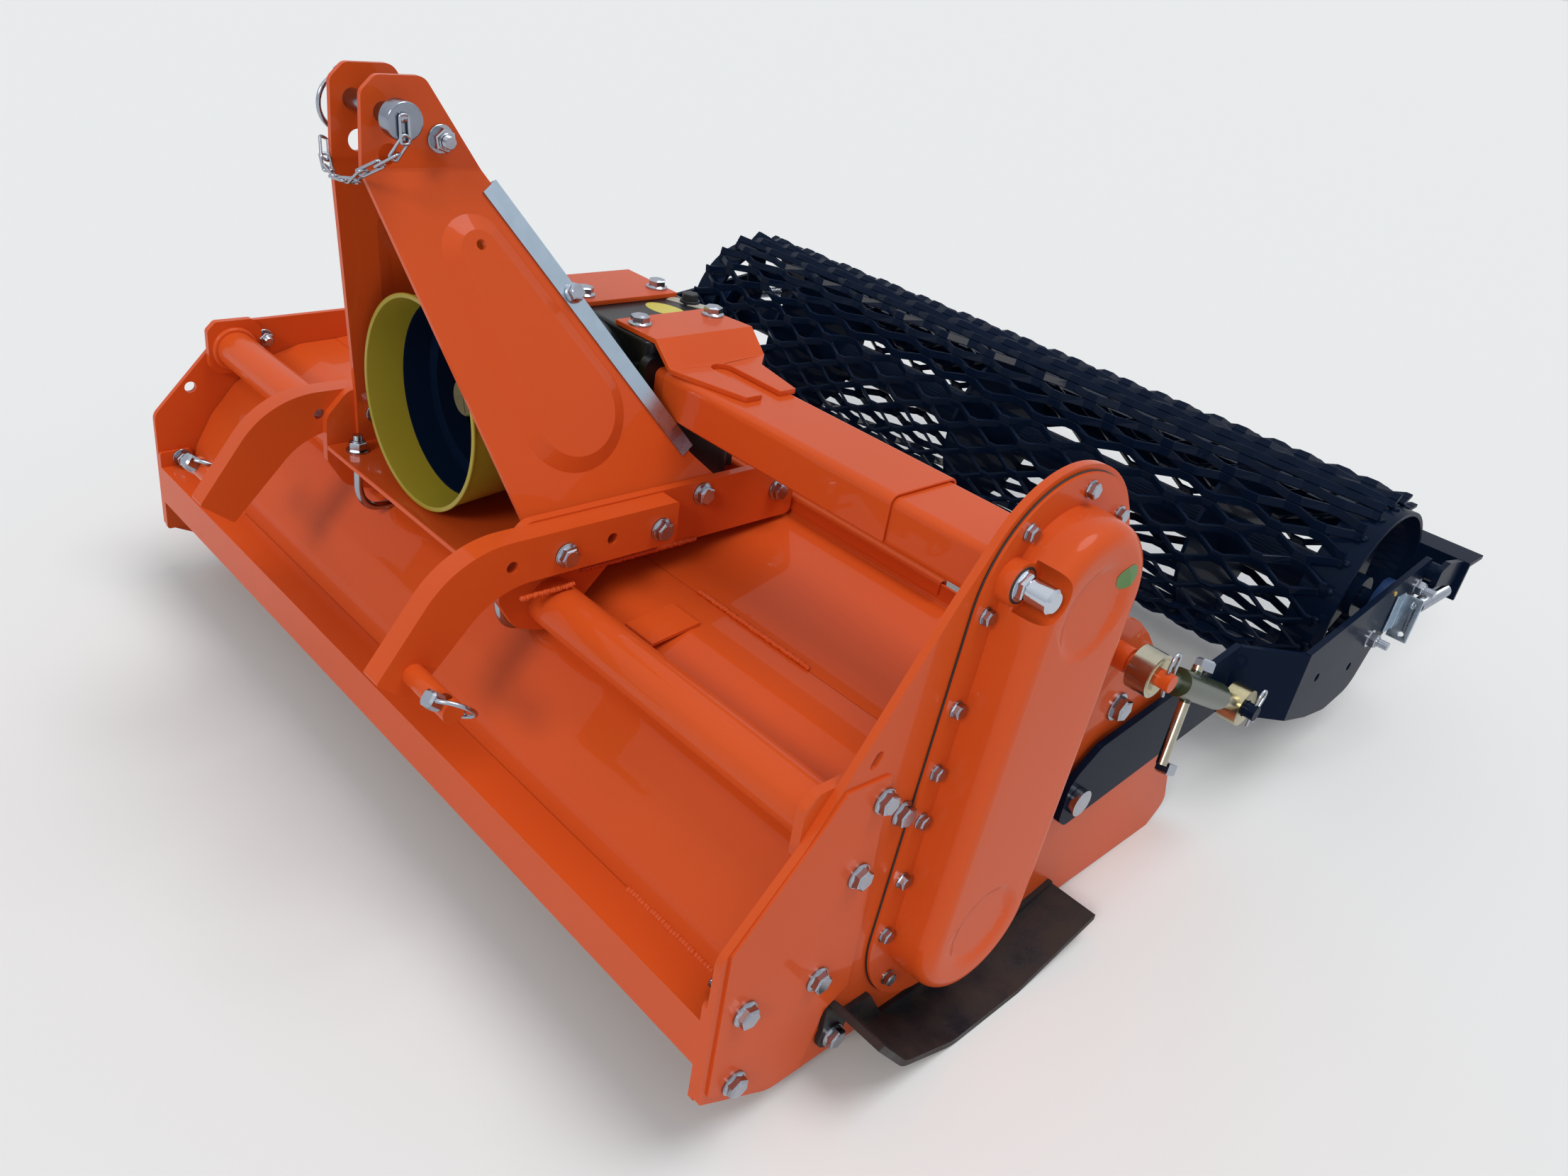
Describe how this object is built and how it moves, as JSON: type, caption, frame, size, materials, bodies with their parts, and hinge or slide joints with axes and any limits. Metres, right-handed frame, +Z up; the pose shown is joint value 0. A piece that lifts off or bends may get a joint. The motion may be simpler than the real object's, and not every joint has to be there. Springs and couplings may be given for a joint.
{
  "type": "stone burier",
  "caption": "Compact tractor stone burier with category 1 headstock, hooded rotor, side chain drive, adjustable skids and a mesh roller on screw-set arms.",
  "frame": {"origin": "centre of the bounding box's lower face, on the floor midway between the side plates; the machine is stored as it parks, on its skids and the side plates' rear corners, pitched back by 2.7 degrees", "axes": "+X to the chain case side, +Y to the rear roller, +Z up; the headstock faces -Y"},
  "size_m": [1.424, 1.434, 0.8075],
  "materials": {
    "machine_orange": "glossy orange enamel",
    "gloss_black": "satin black enamel",
    "gearbox_paint": "black painted casting",
    "rotor_paint": "black paint",
    "yellow_plastic": "moulded yellow guard",
    "gasket_rubber": "flat black gasket",
    "bright_chrome": "bright plated pin",
    "zinc": "bright zinc plating",
    "galvanised": "dull galvanised sheet",
    "yellow_zinc": "yellow passivated zinc",
    "barrel_green": "olive lacquer over steel",
    "bearing_blue": "dark blue paint",
    "shaft_steel": "oiled steel"
  },
  "bodies": {
    "frame": {"axle_housing": "machine_orange", "chain_case": "machine_orange", "chain_gasket": "gasket_rubber", "cross_tube": "machine_orange", "drive_bearing": "bearing_blue", "front_beam": "machine_orange", "front_cover": "machine_orange", "gearbox": "gearbox_paint", "gearbox_bridge_left": "machine_orange", "gearbox_bridge_right": "machine_orange", "headstock_base": "machine_orange", "headstock_guard_left": "galvanised", "headstock_guard_right": "galvanised", "headstock_plate_left": "machine_orange", "headstock_plate_right": "machine_orange", "headstock_spacer": "zinc", "housing_cover": "machine_orange", "link_arm_left": "machine_orange", "link_arm_right": "machine_orange", "link_pin_left": "machine_orange", "link_pin_right": "machine_orange", "lip_cap": "machine_orange", "pivot_pin_left": "zinc", "pivot_pin_right": "zinc", "pto_bearing_cap": "bearing_blue", "pto_inner_ring": "gloss_black", "pto_shield": "yellow_plastic", "rear_deck": "machine_orange", "rotor_bearing_chain": "bearing_blue", "rotor_bearing_far": "bearing_blue", "screw_pin_left": "machine_orange", "screw_pin_right": "machine_orange", "selector_grid": "rotor_paint", "side_member_left": "machine_orange", "side_member_right": "machine_orange", "side_plate_chain": "machine_orange", "side_plate_far": "machine_orange", "skid_left": "gloss_black", "skid_right": "gloss_black", "tie_rod": "gloss_black", "top_link_pin": "bright_chrome"},
    "rotor_body": {"rotor": "rotor_paint"},
    "drive_shaft_body": {"drive_shaft": "shaft_steel"},
    "pto_body": {"pto_shaft": "shaft_steel"},
    "roller_frame": {"roller_arm_left": "gloss_black", "roller_arm_right": "gloss_black", "roller_bearing_left": "bearing_blue", "roller_bearing_right": "bearing_blue", "scraper_beam": "gloss_black", "spring_bracket_left": "galvanised", "spring_bracket_right": "galvanised", "scraper_spring_left": "zinc", "scraper_spring_right": "zinc"},
    "roller": {"roller_core": "gloss_black", "roller_mesh": "gloss_black"},
    "barrel_left": {"screw_barrel_left": "barrel_green"},
    "barrel_right": {"screw_barrel_right": "barrel_green"},
    "screw_left": {"screw_rod_left": "yellow_zinc"},
    "screw_right": {"screw_rod_right": "yellow_zinc"}
  },
  "joints": [
    {"name": "pto_spin", "type": "hinge", "parent": "frame", "child": "pto_body", "pos_m": [0, -0.44737, 0.47635], "axis": [0, 0.9989, -0.0477], "continuous": true},
    {"name": "rotor_spin", "type": "hinge", "parent": "frame", "child": "rotor_body", "pos_m": [0, -0.32717, 0.14223], "axis": [1, 0, 0], "continuous": true},
    {"name": "drive_spin", "type": "hinge", "parent": "frame", "child": "drive_shaft_body", "pos_m": [0, -0.2826, 0.4885], "axis": [1, 0, 0], "continuous": true},
    {"name": "roller_lift", "type": "hinge", "parent": "frame", "child": "roller_frame", "pos_m": [0, -0.13319, 0.17902], "axis": [1, 0, 0], "range_deg": [-10, 8]},
    {"name": "roller_spin", "type": "hinge", "parent": "roller_frame", "child": "roller", "pos_m": [0, 0.49805, 0.23197], "axis": [1, 0, 0], "continuous": true},
    {"name": "barrel_swing_left", "type": "hinge", "parent": "frame", "child": "barrel_left", "pos_m": [0.65, -0.11961, 0.35858], "axis": [1, 0, 0], "range_deg": [-8, 7]},
    {"name": "screw_slide_left", "type": "slide", "parent": "barrel_left", "child": "screw_left", "axis": [0, 0.8686, -0.4955], "range_m": [-0.024, 0.03]},
    {"name": "barrel_swing_right", "type": "hinge", "parent": "frame", "child": "barrel_right", "pos_m": [-0.65, -0.11961, 0.35858], "axis": [1, 0, 0], "range_deg": [-8, 7]},
    {"name": "screw_slide_right", "type": "slide", "parent": "barrel_right", "child": "screw_right", "axis": [0, 0.8686, -0.4955], "range_m": [-0.024, 0.03]}
  ],
  "couplings": [
    {"joint": "rotor_spin", "follows": "pto_spin", "ratio": -0.42},
    {"joint": "drive_spin", "follows": "pto_spin", "ratio": -0.42},
    {"joint": "barrel_swing_left", "follows": "roller_lift", "ratio": 0.7505},
    {"joint": "screw_slide_left", "follows": "roller_lift", "m_per_rad": -0.16161},
    {"joint": "barrel_swing_right", "follows": "roller_lift", "ratio": 0.7505},
    {"joint": "screw_slide_right", "follows": "roller_lift", "m_per_rad": -0.16161}
  ]
}
